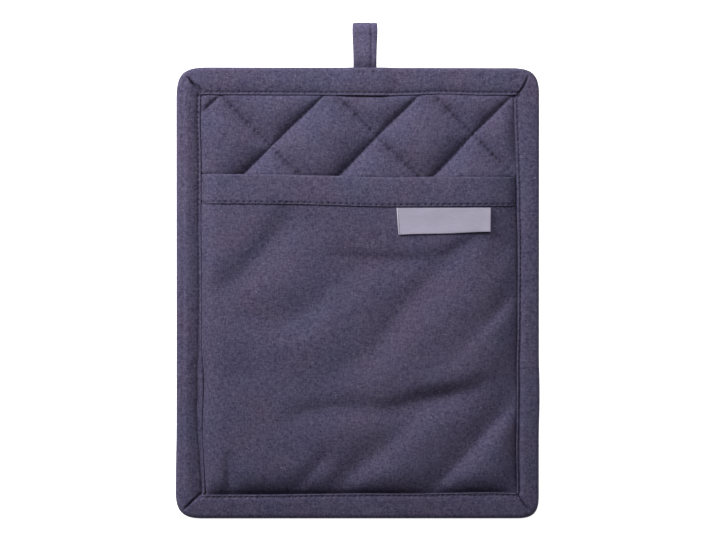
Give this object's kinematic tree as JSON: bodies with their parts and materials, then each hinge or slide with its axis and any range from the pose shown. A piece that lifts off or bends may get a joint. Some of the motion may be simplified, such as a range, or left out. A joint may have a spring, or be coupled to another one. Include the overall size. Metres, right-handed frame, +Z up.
{
  "type": "pot holder",
  "caption": "Rectangular quilted cotton pot holder with a hand pocket on its face, a mitred fabric binding and a hanging loop at the middle of one short side.",
  "frame": {"origin": "middle of the pad's underside, on the surface that it lies on", "axes": "+Y points from the pocket's closed end to the hanging loop, along the length; +Z points up from the surface, out of the pocket side"},
  "size_m": [0.2005, 0.2733, 0.0113],
  "materials": {
    "cotton": "matt woven cotton in dark heather purple",
    "ribbon": "smooth grey woven ribbon"
  },
  "bodies": {
    "root": {"quilted_pad": "cotton", "pocket": "cotton", "binding": "cotton", "hanging_loop": "cotton", "label": "ribbon"}
  },
  "joints": []
}
